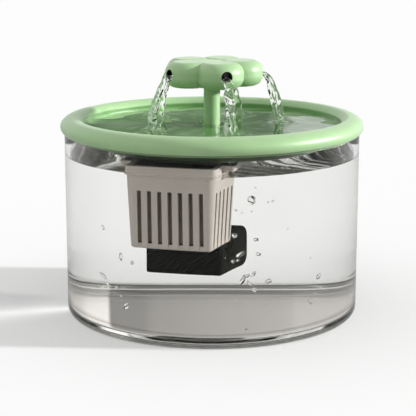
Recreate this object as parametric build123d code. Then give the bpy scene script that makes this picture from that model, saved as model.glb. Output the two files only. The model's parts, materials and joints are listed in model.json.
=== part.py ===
from build123d import *
import os
from math import radians, sqrt, tan

# Pet water fountain: clear tank, tray with a raised rim, flower head on a stem,
# and a filter box and a pump that hang below the tray. Millimetres, +Z up,
# origin on the tank's axis at the surface it stands on. +X is to the right.

# ---- Fits ------------------------------------------------------------------
running_fit = 0.05  # radial play of a shaft, stem or spigot in its hole
sliding_fit = 0.15  # play on each side of a flat tongue in its slot
seat_gap = 0.05  # play under a piece that rests on another
loose_fit = 0.6  # play round the cartridge in its box
overcut = 1.0  # how far a cut runs past the face it opens

# ---- Tank ------------------------------------------------------------------
tank_radius = 90.0
tank_wall = 3.0
tank_height = 113.0
tank_floor = 5.0
tank_foot_round = 4.6
tank_corner_round = 3.5

# ---- Tray ------------------------------------------------------------------
bead_overhang = 2.4  # how far the rounded rim stands out past the tank
bead_half_width = 8.13
bead_half_height = 5.82
bead_rise = 3.0  # from the tank's top edge to the middle of the rim
lip_inset = 5.37  # from the rim's middle circle in to the lip edge
lip_rise = 2.4  # from the rim's middle up to the lip edge
dish_depth = 11.2  # from the lip edge down to the dish floor
dish_corner_round = 7.0
dish_wall = 2.2
groove_play = 0.4  # on each side of the tank's wall in the rim's groove
drain_gap = 3.25  # clear ring between the stem and the overflow collar
collar_wall = 1.6
collar_height = 8.0  # of the overflow collar above the dish floor
collar_tail = 4.0  # of the overflow collar below the dish

# ---- Stem and flower head --------------------------------------------------
stem_radius = 5.05
stem_bore = 3.75
head_rise = 21.6  # from the lip edge to the head's underside
head_height = 15.5
petals = 5
petal_radius = 14.3
petal_reach = 16.9  # from the stem's axis to a petal's middle
petal_round = 6.5
petal_turn = 16.6  # of the first petal, from straight ahead (-Y) to the right
head_wall = 2.2
head_hub_radius = 9.0
head_foot_radius = 16.5
crown_drop = 0.6  # of the middle of the head below the petals' tops
nozzle_radius = 3.5
nozzle_height = 8.0  # of the nozzles above the head's underside
plug_radius = 13.6
plug_recess = 0.4
plug_thickness = 2.7
plug_ring_wall = 1.8
seal_height = 1.1
seal_width = 1.6
lip_thickness = 1.5
socket_wall = 2.3
socket_depth = 7.15  # of the stem's end in the head
socket_lip = 1.9

# ---- Inner works: turned together about the tank's axis --------------------
works_turn = 15.6

# ---- Return chute and pump hanger ------------------------------------------
chute_drop = 6.5  # from the dish's underside to the chute's underside
chute_wall = 1.5
chute_width = 16.0
stand_gap = 1.0  # over the collar round the stem inside the chute
hanger_wall = 1.35
hanger_play = 0.4  # between the stem and the hanger tube
hanger_engagement = 7.0  # of the hanger tube in the pump's collar

# ---- Filter box ------------------------------------------------------------
box_gap = 1.5  # from the dish's underside to the box's top
box_height = 47.5
box_width = 46.3
box_depth = 37.6
box_inset = 8.42  # from the tank's inner wall in to the box's front face, at its foot
box_offset = -1.51  # of the box's middle to the side of the tank's axis
box_draft = 3.0  # degrees
box_wall = 2.0
box_corner_round = 2.0
box_foot_round = 1.6
rim_band = 5.0
rim_proud = 0.9
slot_width = 2.45
slot_height = 30.6
slot_foot = 3.0
groove_depth = 0.5
front_slots = 7
front_pitch = 5.88
side_slots = 5
side_pitch = 7.1
drain_slots = 5
ear_reach = 10.2  # from the box's foot corner line out to the ear's end
ear_width = 16.0
ear_thickness = 3.0
tongue_width = 12.0
tongue_thickness = 2.0
tongue_length = 7.5
tongue_edge = 3.0  # from the ear's end in to the middle of the tongue

# ---- Filter cartridge ------------------------------------------------------
cartridge_height = 34.0
cartridge_corner = 2.0
plate_thickness = 1.5
top_ring_width = 5.0
post_side = 3.0
mesh_inset = 0.4
mesh_thickness = 1.2
carbon_height = 16.5
resin_height = 10.0
sponge_height = 3.0
sponge_inset = 0.5

# ---- Pump ------------------------------------------------------------------
pump_hang = 49.9  # from the dish's underside to the pump's top
pump_height = 25.1
pump_length = 37.3
pump_depth = 41.5
outlet_to_end = 9.9  # from the outlet's axis to the intake end
outlet_to_front = 18.0  # from the outlet's axis to the front face
pump_back_round = 7.0
pump_edge_round = 1.5
pump_wall = 2.0
cap_thickness = 2.0
cover_thickness = 4.0
rotor_to_front = 13.0  # from the rotor's axis to the front face
chamber_radius = 9.3
chamber_length = 11.2
partition = 1.8
can_radius = 6.0
can_wall = 1.0
can_length = 15.3
can_end = 1.2
outlet_bore = 2.0
spigot_height = 12.9
spigot_step = 2.0  # ledge under the stem's end
pump_collar_height = 8.0
pump_collar_wall = 1.4
collar_relief = 0.3  # under the collar, above the intake cover
oring_section = 0.5
oring_height = 7.0  # of the O-ring above the pump's top
shaft_radius = 1.0
bush_radius = 2.2
bush_length = 2.0
end_play = 0.3
magnet_radius = 5.4
vane_radius = 8.2
vane_height = 5.6
vane_thickness = 1.0
vanes = 6
impeller_disc = 1.2
impeller_hub = 3.0
eye_wall = 1.35
dial_radius = 8.4
dial_thickness = 1.5
dial_recess = 1.8
dial_pin = 1.5
dial_grip_height = 0.5
intake_holes = 6
intake_hole_radius = 1.3
intake_circle = 5.0
core_leg = 2.4
core_play = 0.3  # between the core and the housing
core_width = 11.0
yoke_depth = 4.0
yoke_width = 7.0
yoke_back = 4.3  # from the housing's inner back wall to the yoke
bobbin_wall = 0.6
winding_depth = 2.9
winding_margin = 0.5  # of the bobbin's flanges past the winding
gland_radius = 3.0
gland_bore = 1.8
gland_length = 6.0
gland_flange = 1.2

# ---- Lead grommet in the tank's rim ----------------------------------------
grommet_width = 8.0
grommet_height = 7.0
grommet_flange = 1.2
grommet_bore = 1.8
grommet_flange_drop = 3.0  # of the flanges' tops below the tank's top edge

# ---- Heights and radii that follow ------------------------------------------
tank_bore = tank_radius - tank_wall
bead_radius = tank_radius + bead_overhang - bead_half_width
bead_z = tank_height + bead_rise
lip_z = bead_z + lip_rise
lip_radius = bead_radius - lip_inset
dish_z = lip_z - dish_depth
dish_under = dish_z - dish_wall
collar_bore = stem_radius + drain_gap
head_z = lip_z + head_rise
socket_z = head_z + plug_recess + socket_depth
pump_top = dish_under - pump_hang
pump_bottom = pump_top - pump_height
box_front = tank_bore - box_inset
box_top = dish_under - box_gap
box_bottom = box_top - box_height
box_middle = box_depth / 2 - box_front
chute_z = dish_under - chute_drop
hanger_bore = stem_radius + hanger_play
hanger_radius = hanger_bore + hanger_wall
ear_line = box_width / 2 + ear_reach - tongue_edge  # the tongues' middle line
rotor_y = rotor_to_front - outlet_to_front
rotor_z = pump_bottom + pump_height / 2
cover_x = outlet_to_end - cover_thickness
chamber_x = cover_x - chamber_length
motor_x = chamber_x - partition
cap_x = outlet_to_end - pump_length + cap_thickness


# ---- Helpers -----------------------------------------------------------------
def disc(radius, z0, z1):
    """Upright cylinder on the Z axis between two heights."""
    return Pos(0, 0, (z0 + z1) / 2) * Cylinder(radius, z1 - z0)


def ring(outer, inner, z0, z1):
    """Upright tube on the Z axis between two heights."""
    return disc(outer, z0, z1) - disc(inner, z0, z1)


def slab(x0, x1, y0, y1, z0, z1):
    """Block between two corners."""
    middle = Pos((x0 + x1) / 2, (y0 + y1) / 2, (z0 + z1) / 2)
    return middle * Box(x1 - x0, y1 - y0, z1 - z0)


def rotor_disc(radius, x0, x1):
    """Cylinder on the pump rotor's axis, between two places along it."""
    return Pos((x0 + x1) / 2, rotor_y, rotor_z) * Rot(0, 90, 0) * Cylinder(radius, x1 - x0)


def drafted(width, depth, corner, z0, height):
    """Upright rounded block whose sides lean out by box_draft."""
    foot = Pos(box_offset, box_middle, z0) * RectangleRounded(width, depth, corner)
    return extrude(foot, height, taper=-box_draft)


def works(shape):
    """Turns a piece of the inner works into its place under the tray."""
    return Rot(0, 0, -works_turn) * shape


# ---- Tank ----------------------------------------------------------------------
def make_tank():
    shell = disc(tank_radius, 0, tank_height)
    shell = fillet(shell.edges().group_by(Axis.Z)[0], tank_foot_round)
    hollow = disc(tank_bore, tank_floor, tank_height + tank_wall)
    hollow = fillet(hollow.edges().group_by(Axis.Z)[0], tank_corner_round)
    tank = shell - hollow
    tank = fillet(tank.edges().group_by(Axis.Z)[-1], tank_wall / 4)
    half = grommet_width / 2
    notch = slab(-half, half, 0, tank_radius + overcut, -grommet_height, overcut)
    return tank - Pos(0, 0, tank_height) * notch


def make_lead_grommet():
    """Rubber block that fills the notch in the tank's rim, flanged on both sides of the wall."""
    low = tank_height - grommet_height
    high = tank_height - grommet_flange_drop
    half = grommet_width / 2
    wide = half + grommet_flange
    inside = sqrt(tank_bore**2 - wide**2) - running_fit
    outside = tank_radius + running_fit
    block = slab(-half, half, inside, outside, low, tank_height - seat_gap)
    inner = slab(-wide, wide, inside - grommet_flange, inside, low - grommet_flange, high)
    outer = slab(-wide, wide, outside, outside + grommet_flange, low - grommet_flange, high)
    hole = Pos(0, tank_radius, low + grommet_height / 2) * Rot(90, 0, 0)
    return block + inner + outer - hole * Cylinder(grommet_bore, 4 * tank_wall)


# ---- Tray ----------------------------------------------------------------------
def tray_section():
    """Right half of the tray's section, drawn in the XZ plane."""
    under_radius = lip_radius - dish_corner_round
    middle = (bead_radius, bead_z)
    bead_outside = EllipticalCenterArc(middle, bead_half_width, bead_half_height, -90, arc_size=180)
    crest = (bead_radius, bead_z + bead_half_height)
    lip = (lip_radius, lip_z)
    slope = TangentArc(crest, lip, tangent=(-1, 0))
    wall_foot = (lip_radius, dish_z + dish_corner_round)
    floor_edge = (under_radius, dish_z)
    drop = Line(lip, wall_foot)
    bend = CenterArc((under_radius, dish_z + dish_corner_round), dish_corner_round, 270, 90)
    inner = collar_bore + collar_wall
    floor_top = Line(floor_edge, (inner, dish_z))
    collar_out = Line((inner, dish_z), (inner, dish_z + collar_height))
    collar_top = Line((inner, dish_z + collar_height), (collar_bore, dish_z + collar_height))
    collar_in = Line((collar_bore, dish_z + collar_height), (collar_bore, dish_under - collar_tail))
    tail = Line((collar_bore, dish_under - collar_tail), (inner, dish_under - collar_tail))
    tail_out = Line((inner, dish_under - collar_tail), (inner, dish_under))
    under = Line((inner, dish_under), (under_radius, dish_under))
    shoulder = (lip_radius + dish_wall, dish_under + dish_corner_round)
    rise = Spline((under_radius, dish_under), shoulder, tangents=((1, 0), (0.35, 1)))
    skirt = Line(shoulder, (bead_radius, bead_z - bead_half_height))
    edges = [bead_outside, slope, drop, bend, floor_top, collar_out, collar_top, collar_in]
    return make_face(edges + [tail, tail_out, under, rise, skirt])


def make_tray():
    dish = revolve(Plane.XZ * tray_section(), Axis.Z)
    groove_in = tank_bore - groove_play
    groove_out = tank_radius + groove_play
    dish -= ring(groove_out, groove_in, 0, tank_height + seat_gap)
    for side in (-1, 1):
        x = box_offset + side * ear_line
        tongue = slab(
            x - tongue_thickness / 2,
            x + tongue_thickness / 2,
            box_middle - tongue_width / 2,
            box_middle + tongue_width / 2,
            dish_under - tongue_length,
            dish_under + dish_wall / 2,
        )
        dish += works(tongue)
    return dish


def make_return_chute():
    """Gutter from the overflow collar to the filter box, with the tube that carries the pump."""
    cup_bore = collar_bore + collar_wall + running_fit
    half = chute_width / 2
    end = box_middle + box_depth / 2 + box_gain(chute_z) - box_wall
    cup = disc(cup_bore + chute_wall, chute_z, dish_under)
    gutter = slab(-half, half, end, 0, chute_z, dish_under)
    hollow = disc(cup_bore, chute_z + chute_wall, dish_under)
    channel = slab(-half + chute_wall, half - chute_wall, end, 0, chute_z + chute_wall, dish_under)
    stand = disc(hanger_radius, chute_z, dish_under - stand_gap)
    tube = disc(hanger_radius, pump_top + pump_collar_height - hanger_engagement, chute_z + chute_wall)
    bore = disc(hanger_bore, 0, tank_height)
    return works((cup + gutter) - hollow - channel + stand + tube - bore)


# ---- Stem and head ---------------------------------------------------------------
def make_stem():
    foot = pump_top + spigot_step + seat_gap
    return ring(stem_radius, stem_bore, foot, socket_z - seat_gap)


def at_petals(shape):
    """One copy of a shape drawn towards +X at each petal's direction."""
    first = petal_turn - 90
    return [Rot(0, 0, first + k * 360 / petals) * shape for k in range(petals)]


def puck(radius, z0, z1, corner):
    """Petal body: a disc with both edges rounded, at the petal's place towards +X."""
    body = disc(radius, z0, z1)
    return Pos(petal_reach, 0, 0) * fillet(body.edges(), corner)


def make_head_shell():
    top = head_z + head_height
    waist = head_z + head_height / 2
    outer = disc(head_hub_radius, head_z, top - crown_drop) + disc(head_foot_radius, head_z, waist)
    for petal in at_petals(puck(petal_radius, head_z, top, petal_round)):
        outer += petal
    inner_low = head_z + head_wall
    inner = disc(head_hub_radius, inner_low, top - crown_drop - head_wall)
    inner += disc(head_foot_radius - head_wall, inner_low, waist - head_wall)
    hollow = puck(petal_radius - head_wall, inner_low, top - head_wall, petal_round - head_wall)
    for petal in at_petals(hollow):
        inner += petal
    ledge_low = head_z + plug_recess + plug_thickness + seal_height
    boss = disc(plug_radius + plug_ring_wall, head_z, ledge_low + lip_thickness)
    shell = outer - inner + boss
    shell -= disc(plug_radius, head_z - overcut, ledge_low)
    shell -= disc(plug_radius - seal_width, head_z, ledge_low + lip_thickness)
    length = head_wall + petal_round
    start = petal_reach + petal_radius - length
    bore_middle = Pos(start + length, 0, head_z + nozzle_height) * Rot(0, 90, 0)
    bore = bore_middle * Cylinder(nozzle_radius, 2 * length)
    for nozzle in at_petals(bore):
        shell -= nozzle
    return shell


def make_head_plug():
    low = head_z + plug_recess
    plug = disc(plug_radius - running_fit, low, low + plug_thickness)
    plug += disc(stem_radius + running_fit + socket_wall, low, socket_z + socket_lip)
    plug -= disc(stem_radius + running_fit, low - overcut, socket_z)
    return plug - disc(stem_bore, low, socket_z + socket_lip)


def make_head_seal():
    low = head_z + plug_recess + plug_thickness
    return ring(plug_radius - running_fit, plug_radius - seal_width, low, low + seal_height)


# ---- Filter box ------------------------------------------------------------------
def box_gain(z):
    """How far each side of the box has leaned out at a height."""
    return (z - box_bottom) * tan(radians(box_draft))


def row(count, pitch):
    """Places of a row of evenly spaced items, about its middle."""
    return [(k - (count - 1) / 2) * pitch for k in range(count)]


def box_slots(below=0.0):
    """Upright slots through all four sides, reaching further down by below."""
    low = box_bottom + slot_foot
    far_x = box_width / 2 + ear_reach
    far_y = box_depth / 2 + ear_reach
    cuts = []
    for x in row(front_slots, front_pitch):
        cuts.append((x - slot_width / 2, x + slot_width / 2, -far_y, far_y))
    for y in row(side_slots, side_pitch):
        cuts.append((-far_x, far_x, y - slot_width / 2, y + slot_width / 2))
    middle = Pos(box_offset, box_middle, 0)
    return [middle * slab(*cut, low - below, low + slot_height) for cut in cuts]


def make_filter_box():
    body = drafted(box_width, box_depth, box_corner_round, box_bottom, box_height)
    body = fillet(body.edges().group_by(Axis.Z)[0], box_foot_round)
    gain = 2 * box_gain(box_top)
    rim_width = box_width + gain + 2 * rim_proud
    rim_depth = box_depth + gain + 2 * rim_proud
    rim_plan = Pos(box_offset, box_middle, box_top - rim_band)
    rim = extrude(rim_plan * RectangleRounded(rim_width, rim_depth, box_corner_round + rim_proud), rim_band)
    body += fillet(rim.edges().group_by(Axis.Z)[0], rim_proud / 2)
    ear_half = box_width / 2 + ear_reach
    ear_plan = Pos(box_offset, box_middle, box_top - ear_thickness)
    ears = extrude(ear_plan * RectangleRounded(2 * ear_half, ear_width, box_foot_round), ear_thickness)
    body += ears
    for side in (-1, 1):
        x = box_offset + side * ear_line
        half_x = tongue_thickness / 2 + sliding_fit
        half_y = tongue_width / 2 + sliding_fit
        hole = slab(x - half_x, x + half_x, -half_y, half_y, box_bottom, box_top + overcut)
        body -= Pos(0, box_middle, 0) * hole
    cavity_low = box_bottom + box_wall
    lean = box_gain(cavity_low)
    width = box_width - 2 * (box_wall - lean)
    depth = box_depth - 2 * (box_wall - lean)
    body -= drafted(width, depth, box_corner_round - box_wall / 2, cavity_low, box_height)
    for block in box_slots():
        body -= block
    core_width_in = box_width - 2 * groove_depth
    core_depth_in = box_depth - 2 * groove_depth
    core = drafted(core_width_in, core_depth_in, box_corner_round, box_bottom - overcut, box_height)
    for block in box_slots(slot_foot + overcut):
        body -= block - core
    drain_half = box_depth / 2 - 2 * box_wall - box_corner_round
    drain = slab(-slot_width / 2, slot_width / 2, -drain_half, drain_half, box_bottom - overcut, bed_z)
    for x in row(drain_slots, front_pitch):
        body -= Pos(box_offset + x, box_middle, 0) * drain
    notch = chute_width / 2 + 2 * sliding_fit
    through = 2 * box_wall
    gap = slab(-notch, notch, -through, through, chute_z - 2 * sliding_fit, box_top + overcut)
    return works(body - Pos(0, box_middle + box_depth / 2, 0) * gap)


# ---- Filter cartridge ------------------------------------------------------------
cartridge_z = box_bottom + box_wall
cartridge_width = box_width - 2 * box_wall - 2 * loose_fit
cartridge_depth = box_depth - 2 * box_wall - 2 * loose_fit
bed_z = cartridge_z + plate_thickness
bed_top = cartridge_z + cartridge_height - plate_thickness


def block_of(width, depth, z0, z1):
    """Upright block on the filter box's middle line."""
    x0 = box_offset - width / 2
    y0 = box_middle - depth / 2
    return slab(x0, x0 + width, y0, y0 + depth, z0, z1)


def cartridge_posts(play):
    """The four corner posts, just inside the mesh."""
    inset = mesh_inset + mesh_thickness + post_side / 2
    posts = []
    for sx in (-1, 1):
        for sy in (-1, 1):
            x = box_offset + sx * (cartridge_width / 2 - inset)
            y = box_middle + sy * (cartridge_depth / 2 - inset)
            half = post_side / 2 + play
            posts.append(slab(x - half, x + half, y - half, y + half, bed_z, bed_top))
    return posts


def make_cartridge_frame():
    inner_width = cartridge_width - 2 * top_ring_width
    inner_depth = cartridge_depth - 2 * top_ring_width
    top = cartridge_z + cartridge_height
    frame = block_of(cartridge_width, cartridge_depth, cartridge_z, bed_z)
    frame += block_of(cartridge_width, cartridge_depth, bed_top, top)
    frame = fillet(frame.edges().filter_by(Axis.Z), cartridge_corner)
    frame -= block_of(inner_width, inner_depth, bed_top - overcut, top + overcut)
    for post in cartridge_posts(0):
        frame += post
    return works(frame)


def make_cartridge_mesh():
    width = cartridge_width - 2 * mesh_inset
    depth = cartridge_depth - 2 * mesh_inset
    wrap = block_of(width, depth, bed_z, bed_top)
    inside = block_of(width - 2 * mesh_thickness, depth - 2 * mesh_thickness, bed_z, bed_top)
    return works(wrap - inside)


def make_bed(z0, z1):
    """A layer of filter medium that fills the cartridge between two heights."""
    inset = 2 * (mesh_inset + mesh_thickness)
    bed = block_of(cartridge_width - inset, cartridge_depth - inset, z0, z1)
    for post in cartridge_posts(0):
        bed -= post
    return works(bed)


def make_sponge():
    top = cartridge_z + cartridge_height
    width = cartridge_width - 2 * sponge_inset
    pad = block_of(width, cartridge_depth - 2 * sponge_inset, top, top + sponge_height)
    return works(fillet(pad.edges().filter_by(Axis.Z), box_foot_round))


# ---- Pump --------------------------------------------------------------------------
def pump_section(shrink):
    """The pump's outline seen from its intake end, less a wall all round."""
    depth = pump_depth - 2 * shrink
    height = pump_height - 2 * shrink
    middle_y = pump_depth / 2 - outlet_to_front
    outline = Plane.YZ * Pos(middle_y, rotor_z) * Rectangle(depth, height)
    backs = outline.vertices().group_by(Axis.Y)[-1]
    outline = fillet(backs, pump_back_round - shrink)
    fronts = outline.vertices().group_by(Axis.Y)[0]
    return fillet(fronts, max(pump_edge_round - shrink, pump_edge_round / 3))


def pump_block(x0, x1, shrink=0.0):
    """Length of the pump's body between two places along it."""
    return extrude(Pos(x0, 0, 0) * pump_section(shrink), x1 - x0, dir=(1, 0, 0))


def make_pump_housing():
    body = pump_block(cap_x, cover_x)
    body -= pump_block(cap_x, motor_x, pump_wall)
    can_low = motor_x - can_length
    body += rotor_disc(can_radius + can_wall, can_low - can_end, motor_x)
    body -= rotor_disc(can_radius, can_low, chamber_x)
    body -= rotor_disc(chamber_radius, chamber_x, cover_x)
    collar_bore_radius = hanger_radius + running_fit
    body += ring(
        collar_bore_radius + pump_collar_wall,
        collar_bore_radius,
        pump_top - pump_edge_round,
        pump_top + pump_collar_height,
    )
    spigot = stem_bore - running_fit
    relief_top = pump_top + collar_relief
    body -= slab(cover_x, outlet_to_end, -chamber_radius, chamber_radius, pump_bottom, relief_top)
    body += disc(hanger_radius - hanger_wall, pump_top - pump_edge_round, pump_top + spigot_step)
    body += disc(spigot, pump_top, pump_top + spigot_height)
    ring_z = pump_top + oring_height
    groove_floor = spigot - 2 * oring_section
    body -= ring(spigot + overcut, groove_floor, ring_z - oring_section, ring_z + oring_section)
    body -= disc(outlet_bore, rotor_z, pump_top + spigot_height)
    body -= gland_hole()
    return works(body)


def gland_hole():
    """Hole for the lead gland in the back wall of the motor's space."""
    return gland_axis(gland_radius + running_fit, pump_wall + overcut, pump_wall)


def gland_axis(radius, length, reach_in):
    """Cylinder along the gland, which starts reach_in inside the back face."""
    back = pump_depth - outlet_to_front
    x = (cap_x + motor_x) / 2
    return Pos(x, back - reach_in + length / 2, rotor_z) * Rot(90, 0, 0) * Cylinder(radius, length)


def make_lead_gland():
    body = gland_axis(gland_radius, pump_wall + gland_length, pump_wall)
    body += gland_axis(gland_radius + gland_flange, gland_flange, 0)
    return works(body - gland_axis(gland_bore, gland_length + 2 * pump_wall, pump_wall))


def make_motor_cap():
    cap = pump_block(cap_x - cap_thickness, cap_x)
    outer_edges = cap.faces().sort_by(Axis.X)[0].edges()
    return works(fillet(outer_edges, cap_thickness / 2))


def make_outlet_oring():
    ring_z = pump_top + oring_height
    middle = stem_bore - running_fit - oring_section
    return Pos(0, 0, ring_z) * Torus(middle, oring_section)


can_floor_x = motor_x - can_length
rear_bush_x = can_floor_x + bush_length
front_bush_x = cover_x - bush_length
magnet_x = rear_bush_x + end_play


def make_shaft():
    return works(rotor_disc(shaft_radius, can_floor_x, front_bush_x + bush_length - end_play))


def make_bush(x0):
    bush = rotor_disc(bush_radius, x0, x0 + bush_length)
    return bush - rotor_disc(shaft_radius + running_fit, x0, x0 + bush_length)


def make_magnet():
    magnet = rotor_disc(magnet_radius, magnet_x, motor_x)
    return works(magnet - rotor_disc(shaft_radius + running_fit, magnet_x, motor_x))


def make_impeller():
    hub_end = front_bush_x - end_play
    disc_x = chamber_x + end_play
    wheel = rotor_disc(impeller_hub, motor_x, hub_end)
    wheel += rotor_disc(vane_radius, disc_x, disc_x + impeller_disc)
    for k in range(vanes):
        vane = slab(
            disc_x + impeller_disc,
            disc_x + impeller_disc + vane_height,
            -vane_thickness / 2,
            vane_thickness / 2,
            impeller_hub / 2,
            vane_radius - vane_thickness / 2,
        )
        wheel += Pos(0, rotor_y, rotor_z) * Rot(k * 360 / vanes, 0, 0) * vane
    return works(wheel - rotor_disc(shaft_radius + running_fit, motor_x, hub_end))


def at_intake(radius, x0, x1):
    """The ring of intake holes, between two places along the rotor's axis."""
    hole = Pos((x0 + x1) / 2, 0, intake_circle) * Rot(0, 90, 0) * Cylinder(radius, x1 - x0)
    turned = [Rot(k * 360 / intake_holes, 0, 0) * hole for k in range(intake_holes)]
    return [Pos(0, rotor_y, rotor_z) * one for one in turned]


def make_intake_cover():
    cover = pump_block(cover_x, outlet_to_end)
    outer_edges = cover.faces().sort_by(Axis.X)[-1].edges()
    cover = fillet(outer_edges, pump_edge_round)
    eye = bush_radius + running_fit
    cover += rotor_disc(eye + eye_wall, front_bush_x, cover_x)
    cover -= rotor_disc(eye, front_bush_x, cover_x)
    floor_x = outlet_to_end - dial_recess
    cover -= rotor_disc(dial_radius + running_fit, floor_x, outlet_to_end)
    cover += rotor_disc(dial_pin, floor_x, outlet_to_end)
    for hole in at_intake(intake_hole_radius, front_bush_x, floor_x):
        cover -= hole
    return works(cover)


def make_flow_dial():
    low = outlet_to_end - dial_recess + seat_gap
    dial = rotor_disc(dial_radius - running_fit, low, low + dial_thickness)
    top = low + dial_thickness
    grip = slab(
        top,
        top + dial_grip_height,
        rotor_y - dial_pin / 2,
        rotor_y + dial_pin / 2,
        rotor_z - dial_radius + dial_pin,
        rotor_z + dial_radius - dial_pin,
    )
    dial += grip
    dial -= rotor_disc(dial_pin + running_fit, low, top + dial_grip_height)
    for hole in at_intake(intake_hole_radius, low, top):
        dial -= hole
    return works(dial)


core_middle = (motor_x + cap_x) / 2
yoke_y1 = pump_depth - outlet_to_front - pump_wall - yoke_back
leg_top = pump_height / 2 - pump_wall - core_play
leg_low = leg_top - core_leg


def make_stator_core():
    """U-shaped stack: two legs above and below the rotor can, joined by a yoke behind it."""
    front = rotor_y - can_radius
    half = core_width / 2
    yoke = yoke_width / 2
    core = slab(-yoke, yoke, yoke_y1 - yoke_depth, yoke_y1, -leg_top, leg_top)
    core += slab(-half, half, front, yoke_y1, leg_low, leg_top)
    core += slab(-half, half, front, yoke_y1, -leg_top, -leg_low)
    core = Pos(core_middle, 0, rotor_z) * core
    return works(core - rotor_disc(can_radius + can_wall + seat_gap, cap_x, motor_x))


def around_yoke(grow, height):
    """Block round the yoke that stands out from it on all four sides."""
    half = yoke_width / 2 + grow
    y0 = yoke_y1 - yoke_depth - grow
    return Pos(core_middle, 0, rotor_z) * slab(-half, half, y0, yoke_y1 + grow, -height, height)


def make_coil_bobbin():
    height = leg_low - seat_gap
    rim = bobbin_wall + winding_depth
    bobbin = around_yoke(rim, height) - around_yoke(rim + overcut, height - bobbin_wall)
    bobbin += around_yoke(bobbin_wall, height)
    return works(bobbin - around_yoke(0, height + overcut))


def make_coil_winding():
    height = leg_low - seat_gap - bobbin_wall
    turns = around_yoke(bobbin_wall + winding_depth - winding_margin, height)
    return works(turns - around_yoke(bobbin_wall, height))


# ---- Build ---------------------------------------------------------------------------
pad_z = bed_z + carbon_height + resin_height
nodes = {
    "tank": make_tank(),
    "lead_grommet": make_lead_grommet(),
    "tray": make_tray(),
    "return_chute": make_return_chute(),
    "stem": make_stem(),
    "head_shell": make_head_shell(),
    "head_plug": make_head_plug(),
    "head_seal": make_head_seal(),
    "filter_box": make_filter_box(),
    "cartridge_frame": make_cartridge_frame(),
    "cartridge_mesh": make_cartridge_mesh(),
    "carbon_bed": make_bed(bed_z, bed_z + carbon_height),
    "resin_bed": make_bed(bed_z + carbon_height, pad_z),
    "cotton_pad": make_bed(pad_z, bed_top),
    "sponge_pad": make_sponge(),
    "pump_housing": make_pump_housing(),
    "motor_cap": make_motor_cap(),
    "lead_gland": make_lead_gland(),
    "outlet_oring": make_outlet_oring(),
    "rotor_shaft": make_shaft(),
    "rear_bush": works(make_bush(can_floor_x)),
    "front_bush": works(make_bush(front_bush_x)),
    "rotor_magnet": make_magnet(),
    "impeller": make_impeller(),
    "intake_cover": make_intake_cover(),
    "flow_dial": make_flow_dial(),
    "stator_core": make_stator_core(),
    "coil_bobbin": make_coil_bobbin(),
    "coil_winding": make_coil_winding(),
}

os.makedirs("parts", exist_ok=True)
for name, shape in nodes.items():
    shape.label = name
    export_step(shape, f"parts/{name}.step")
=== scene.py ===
import json
from math import atan2, cos, exp, hypot, pi, radians, sin, sqrt

import bmesh
import bpy
from mathutils import Matrix, Vector, noise


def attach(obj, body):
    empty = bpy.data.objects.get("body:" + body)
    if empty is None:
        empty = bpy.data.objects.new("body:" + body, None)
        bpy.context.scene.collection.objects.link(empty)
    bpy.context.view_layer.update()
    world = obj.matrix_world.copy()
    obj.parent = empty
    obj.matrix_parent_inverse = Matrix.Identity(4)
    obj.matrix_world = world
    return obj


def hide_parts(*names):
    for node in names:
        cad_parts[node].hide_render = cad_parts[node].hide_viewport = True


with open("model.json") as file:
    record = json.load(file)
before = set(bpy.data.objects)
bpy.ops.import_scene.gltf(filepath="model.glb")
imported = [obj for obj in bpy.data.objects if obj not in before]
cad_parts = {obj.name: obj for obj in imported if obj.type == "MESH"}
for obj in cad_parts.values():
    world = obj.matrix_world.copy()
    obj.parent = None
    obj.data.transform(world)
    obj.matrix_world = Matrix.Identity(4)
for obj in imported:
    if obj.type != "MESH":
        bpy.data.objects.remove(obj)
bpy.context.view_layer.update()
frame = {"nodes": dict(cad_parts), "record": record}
MM = 0.001

# ---- Sizes of the solids that the scene's own pieces fit, mm ---------------------------
TANK_RADIUS, TANK_BORE, TANK_HEIGHT, TANK_FLOOR = 90.0, 87.0, 113.0, 5.0
TANK_FOOT_ROUND, TANK_CORNER_ROUND, TANK_EDGE_ROUND = 4.6, 3.5, 0.75
NOTCH_HALF, NOTCH_FOOT = 4.0, 106.0  # of the notch for the lead's grommet, in the back of the rim
LIP_RADIUS, DISH_FLOOR, DISH_CORNER_ROUND = 78.9, 107.2, 7.0
COLLAR_OUTER, COLLAR_BORE, COLLAR_TOP = 9.9, 8.3, 115.2  # of the overflow collar round the stem
PETALS, FIRST_PETAL = 5, -73.4  # the first one's angle from +X, degrees
NOZZLE_REACH, NOZZLE_Z = 31.0, 148.0  # of the nozzles' mouths

# ---- Sizes of the water, mm -------------------------------------------------------------
TANK_WATER_TOP, TRAY_WATER_TOP = 99.1, 116.8
PAINTED_SHADE_TOP = 118.2  # how high up the dish's wall the painted shade inside the dish reaches
WATER_BORE = 7.3  # of the dark gap that the dish's water leaves round the stem
GAP_TOP, GAP_FOOT = 0.6, 1.6  # of that gap's edge, below the collar's top
SOAK = 0.2  # how far water reaches into what holds it, so that no air shows between them
ROUND_STEPS = 256  # faces round the tank and round the water


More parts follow.
